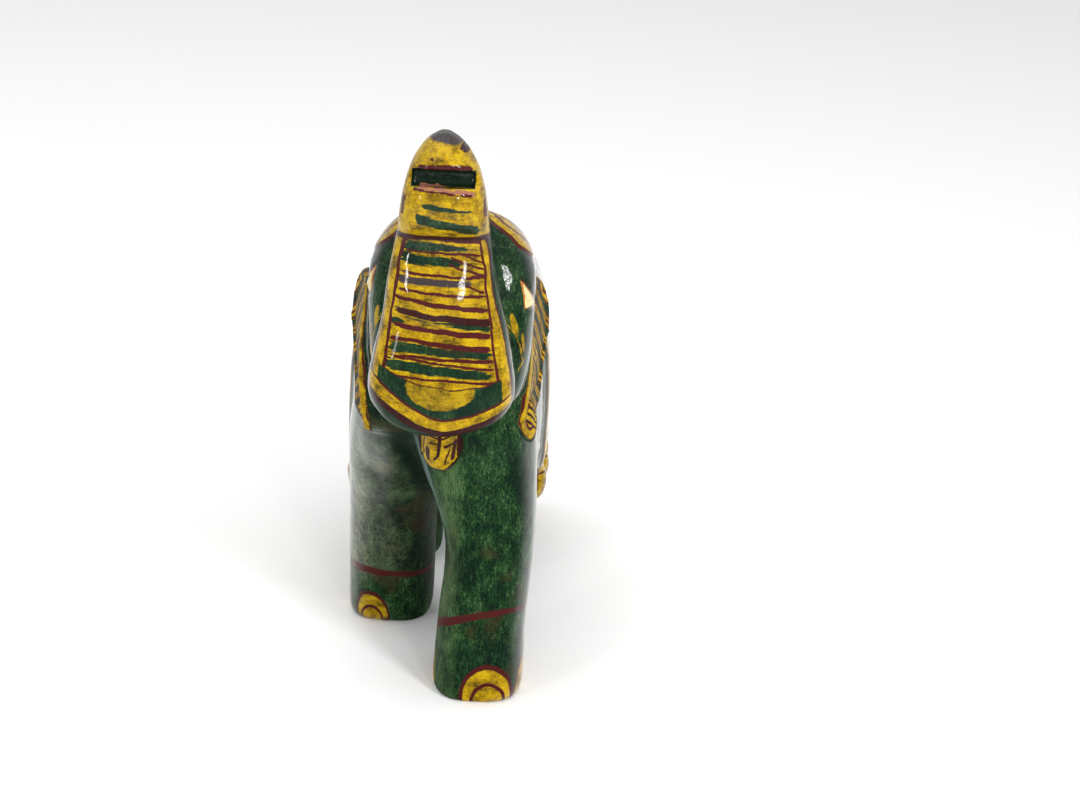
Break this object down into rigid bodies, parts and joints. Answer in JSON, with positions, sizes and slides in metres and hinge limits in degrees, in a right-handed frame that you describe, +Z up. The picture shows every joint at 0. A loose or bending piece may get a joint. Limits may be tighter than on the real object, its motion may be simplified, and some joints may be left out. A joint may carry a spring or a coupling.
{
  "type": "carved stone elephant figurine",
  "caption": "Carved green stone elephant walking with its trunk raised, hand-painted with stripes and a saddle cloth and lacquered.",
  "frame": {"origin": "on the ground under the middle of the figure's length and width", "axes": "the elephant faces -Y and stands with +Z up; its left side is at +X"},
  "size_m": [0.0282, 0.0834, 0.0758],
  "materials": {
    "painted_stone": "mottled dark green stone, hand-painted in yellow and maroon under a clear gloss lacquer"
  },
  "bodies": {
    "root": {"elephant": "painted_stone"}
  },
  "joints": []
}
